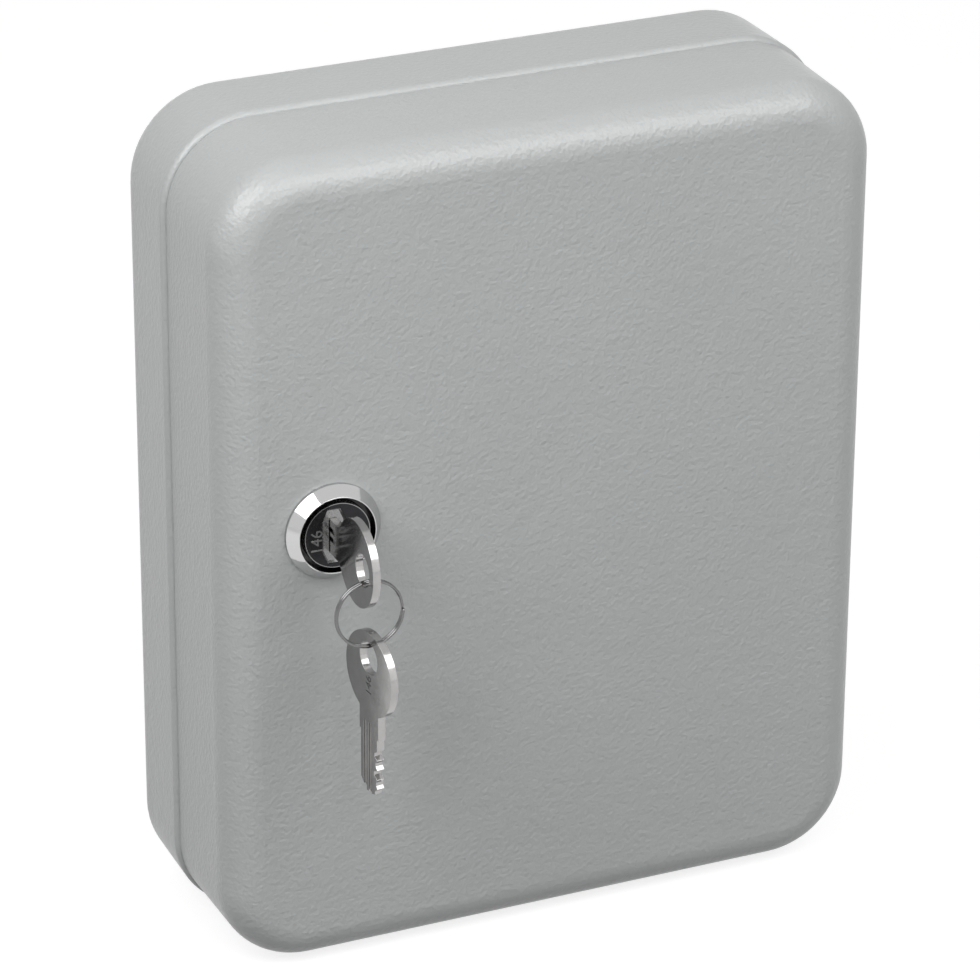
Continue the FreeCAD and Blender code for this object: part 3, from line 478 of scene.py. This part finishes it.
def text_piece(name, words, height, depth, matrix, finish, body):
    """Raised or printed figures as a piece, their middle at the matrix's place."""
    # A figure of the built-in font is this share of the font's size high
    figure_share = 0.72
    merge_distance = 0.0001 * MM
    curve = bpy.data.curves.new(name, "FONT")
    curve.body = words
    curve.size = height / figure_share
    curve.align_x = "CENTER"
    curve.align_y = "CENTER"
    curve.extrude = depth / 2
    curve.resolution_u = 4
    maker = add_object(name + "_maker", curve)
    figures = bpy.data.meshes.new_from_object(maker.evaluated_get(bpy.context.evaluated_depsgraph_get()))
    bpy.data.objects.remove(maker)
    figures.transform(matrix)
    shape = bmesh.new()
    shape.from_mesh(figures)
    bpy.data.meshes.remove(figures)
    bmesh.ops.remove_doubles(shape, verts=shape.verts, dist=merge_distance)
    add_piece(name, closed_mesh(name, shape, finish), body)


class KEYBOX_OT_lock_number(bpy.types.Operator):
    """Stamp the plain lock number on the plug's face, left of the keyway and reading upwards."""

    bl_idname = "keybox.lock_number"
    bl_label = "Lock number"

    def execute(self, context):
        details = context.scene.keybox_details
        left_of_axis = 4.85 * MM
        below_axis = 0.9 * MM
        raised = 0.12 * MM
        across, _, up = middle("lock_plug")
        place = (across - left_of_axis, front("lock_plug"), up - below_axis)
        turned = axes_at(place, (0, 0, 1), (-1, 0, 0), (0, -1, 0))
        text_piece("lock_number", details.lock_number, details.plug_figures, raised,
                   turned, "number", "plug")
        return {"FINISHED"}


class KEYBOX_OT_key_number(bpy.types.Operator):
    """Stamp the same plain number on the spare key's bow, reading along the key."""

    bl_idname = "keybox.key_number"
    bl_label = "Key number"

    def execute(self, context):
        details = context.scene.keybox_details
        half_thickness = 0.9 * MM
        below_top = 13.0 * MM
        raised = 0.04 * MM
        key_turn = math.radians(7)
        across, deep, _ = middle("spare_key")
        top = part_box("spare_key")[1][2]
        along = Vector((0, 0, 1))
        outwards = -Vector((math.cos(key_turn), math.sin(key_turn), 0))
        place = Vector((across, deep, top - below_top)) + outwards * half_thickness
        turned = axes_at(place, along, outwards.cross(along), outwards)
        text_piece("spare_number", details.lock_number, details.key_figures, raised,
                   turned, "stamp", "spare")
        return {"FINISHED"}


def weld_marks(name, places, facing, body):
    """Small round dimpled marks that spot welding leaves on sheet metal, facing one way."""
    radius = bpy.context.scene.keybox_details.weld_radius
    slope = 0.25 * MM
    height = 0.10 * MM
    dimple_edge = 0.45 * MM
    dimple_depth = 0.06 * MM
    out = Vector(facing)
    turn = Vector((0, 0, 1)).rotation_difference(out).to_matrix().to_4x4()
    shape = bmesh.new()
    for place in places:
        mark = bmesh.ops.create_cone(shape, cap_ends=True, segments=28, radius1=radius,
                                     radius2=radius - slope, depth=height,
                                     matrix=Matrix.Translation(place) @ turn)
        caps = [face for vert in mark["verts"] for face in vert.link_faces if len(face.verts) > 4]
        top = max(caps, key=lambda face: face.calc_center_median().dot(out))
        rim = bmesh.ops.inset_region(shape, faces=[top], thickness=dimple_edge, depth=0)
        for vert in top.verts:
            vert.co -= out * dimple_depth
        for face in rim["faces"]:
            face.smooth = True
    add_piece(name, closed_mesh(name, shape, "zinc"), body)


class KEYBOX_OT_weld_marks(bpy.types.Operator):
    """Spot weld marks on both hinge leaves and on the ends of the hook rails."""

    bl_idname = "keybox.weld_marks"
    bl_label = "Weld marks"

    def execute(self, context):
        leaf_spots = 5
        leaf_inset = 4.5 * MM
        rail_end = 40.5 * MM
        rail_height = 4.0 * MM
        for name, body in (("hinge_leaf_case", "case"), ("hinge_leaf_door", "door")):
            low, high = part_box(name)
            deep = high[1] - leaf_inset if body == "case" else low[1] + leaf_inset
            pitch = (high[2] - low[2]) / leaf_spots
            places = [(low[0], deep, low[2] + pitch * (spot + 0.5)) for spot in range(leaf_spots)]
            weld_marks(name + "_welds", places, (-1, 0, 0), body)
        for row in ROWS:
            name = "hook_rail_%d" % row
            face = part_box("number_strip_%d" % row)[1][1]
            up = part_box(name)[0][2] + rail_height
            weld_marks(name + "_welds", [(-rail_end, face, up), (rail_end, face, up)], (0, -1, 0), "case")
        return {"FINISHED"}


class KEYBOX_OT_strip_numbers(bpy.types.Operator):
    """Print the hook numbers on the four strips."""

    bl_idname = "keybox.strip_numbers"
    bl_label = "Hook numbers"

    def execute(self, context):
        details = context.scene.keybox_details
        pitch = 27.0 * MM
        ink_thickness = 0.03 * MM
        number = 0
        for row in ROWS:
            strip = "number_strip_%d" % row
            face = front(strip)
            up = middle(strip)[2]
            for hook in range(HOOKS_PER_ROW):
                number += 1
                across = (hook - (HOOKS_PER_ROW - 1) / 2) * pitch
                upright = axes_at((across, face, up), (1, 0, 0), (0, 0, 1), (0, -1, 0))
                text_piece("hook_number_%02d" % number, str(number), details.hook_figures, ink_thickness,
                           upright, "ink", "case")
        return {"FINISHED"}


def area_light(name, place, width, height, power):
    """A soft box that faces the middle of the key box."""
    centre = Vector((0.0, -0.03, 0.0))
    light = bpy.data.lights.new(name, "AREA")
    light.shape = "RECTANGLE"
    light.size = width
    light.size_y = height
    light.energy = power
    lamp = add_object(name, light)
    lamp.visible_camera = False
    lamp.location = place
    lamp.rotation_mode = "QUATERNION"
    lamp.rotation_quaternion = (centre - Vector(place)).to_track_quat("-Z", "Y")
    return lamp


def seen_rays(tree):
    """One for the rays that show the background: from the camera, off metal and through glass."""
    path = add_node(tree, "ShaderNodeLightPath")
    total = path.outputs["Is Camera Ray"]
    for kind in ("Is Glossy Ray", "Is Transmission Ray"):
        either = add_node(tree, "ShaderNodeMath", operation="MAXIMUM")
        tree.links.new(total, either.inputs[0])
        tree.links.new(path.outputs[kind], either.inputs[1])
        total = either.outputs[0]
    return total


def show_apart(tree, seen, other, surface):
    """Give one shader to the rays that show the background, and another to the rest."""
    switch = add_node(tree, "ShaderNodeMixShader")
    tree.links.new(seen_rays(tree), switch.inputs[0])
    tree.links.new(other.outputs[0], switch.inputs[1])
    tree.links.new(seen.outputs[0], switch.inputs[2])
    tree.links.new(switch.outputs[0], surface)


def make_floor_white():
    """Pale paint that glows white where it shows, and is darker where it only bounces light."""
    material = bpy.data.materials.new("floor_white")
    material.use_nodes = True
    tree = material.node_tree
    shader = tree.nodes["Principled BSDF"]
    shader.inputs["Base Color"].default_value = (*grey(0.28), 1.0)
    shader.inputs["Roughness"].default_value = 0.9
    glow = add_node(tree, "ShaderNodeEmission", {"Color": (*grey(1.0), 1.0), "Strength": 0.80})
    bounce = add_node(tree, "ShaderNodeBsdfDiffuse", {"Color": (*grey(0.14), 1.0)})
    both = add_node(tree, "ShaderNodeAddShader")
    tree.links.new(shader.outputs[0], both.inputs[0])
    tree.links.new(glow.outputs[0], both.inputs[1])
    show_apart(tree, both, bounce, tree.nodes["Material Output"].inputs["Surface"])
    return material


def make_floor():
    """A wide floor just under the key box that keeps its soft shadow."""
    level = -100.05 * MM
    reach = 6.0
    shape = bmesh.new()
    bmesh.ops.create_grid(shape, x_segments=1, y_segments=1, size=reach,
                          matrix=Matrix.Translation((0, 0, level)))
    mesh = bpy.data.meshes.new("floor")
    shape.to_mesh(mesh)
    shape.free()
    mesh.materials.append(make_floor_white())
    add_object("floor", mesh)


def make_world(level):
    """Even grey light all round, white where the camera looks past the floor."""
    world = bpy.data.worlds.new("studio")
    bpy.context.scene.world = world
    world.use_nodes = True
    tree = world.node_tree
    plain = tree.nodes["Background"]
    plain.inputs["Color"].default_value = (*grey(level), 1.0)
    white = add_node(tree, "ShaderNodeBackground", {"Color": (*grey(1.0), 1.0)})
    show_apart(tree, white, plain, tree.nodes["World Output"].inputs["Surface"])


def make_camera(lens):
    """The camera, at the place and angle worked out from the outline of the box."""
    data = bpy.data.cameras.new("camera")
    data.sensor_width = 36.0
    data.lens = lens
    data.clip_start = 0.05
    data.clip_end = 50.0
    place = (-429.99 * MM, -991.52 * MM, 498.86 * MM)
    right = (0.91529, -0.40274, 0.00574)
    up = (0.16792, 0.39450, 0.90342)
    back = (-0.36611, -0.82593, 0.42872)
    camera = add_object("camera", data)
    camera.matrix_world = axes_at(place, right, up, back)
    bpy.context.scene.camera = camera


class KEYBOX_OT_stage(bpy.types.Operator):
    """Set up the floor, the lights and the camera."""

    bl_idname = "keybox.stage"
    bl_label = "Studio"

    def execute(self, context):
        studio = context.scene.keybox_studio
        context.scene.view_settings.view_transform = "Standard"
        make_floor()
        make_world(studio.sky)
        make_camera(studio.lens)
        area_light("key_light", (-0.52, -0.29, 0.52), 0.5, 0.5, studio.key_power)
        area_light("top_light", (0.18, -0.66, 0.62), 0.9, 0.5, studio.top_power)
        area_light("fill_light", (0.7, -1.6, 0.5), 1.2, 1.2, studio.fill_power)
        behind = area_light("back_light", (0.4, 1.5, -0.02), 1.4, 0.12, studio.back_power)
        behind.visible_glossy = False
        return {"FINISHED"}


STEPS = (
    KEYBOX_OT_finish_frame,
    KEYBOX_OT_soft_edges,
    KEYBOX_OT_split_ring,
    KEYBOX_OT_lock_number,
    KEYBOX_OT_key_number,
    KEYBOX_OT_weld_marks,
    KEYBOX_OT_strip_numbers,
    KEYBOX_OT_stage,
)


class KEYBOX_PT_panel(bpy.types.Panel):
    """Settings and steps in the sidebar."""

    bl_label = "Key box"
    bl_idname = "KEYBOX_PT_panel"
    bl_space_type = "VIEW_3D"
    bl_region_type = "UI"
    bl_category = "Key box"

    def draw(self, context):
        scene = context.scene
        for group in (scene.keybox_paint, scene.keybox_details, scene.keybox_studio):
            for name in group.__annotations__:
                self.layout.prop(group, name)
        for step in STEPS:
            self.layout.operator(step.bl_idname)


CLASSES = (KeyBoxPaint, KeyBoxDetails, KeyBoxStudio, *STEPS, KEYBOX_PT_panel)


def register():
    for kind in CLASSES:
        bpy.utils.register_class(kind)
    bpy.types.Scene.keybox_paint = bpy.props.PointerProperty(type=KeyBoxPaint)
    bpy.types.Scene.keybox_details = bpy.props.PointerProperty(type=KeyBoxDetails)
    bpy.types.Scene.keybox_studio = bpy.props.PointerProperty(type=KeyBoxStudio)


def unregister():
    del bpy.types.Scene.keybox_studio
    del bpy.types.Scene.keybox_details
    del bpy.types.Scene.keybox_paint
    for kind in reversed(CLASSES):
        bpy.utils.unregister_class(kind)


def main():
    register()
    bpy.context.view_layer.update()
    for step in STEPS:
        getattr(bpy.ops.keybox, step.bl_idname.split(".")[1])()


if __name__ == "__main__":
    main()
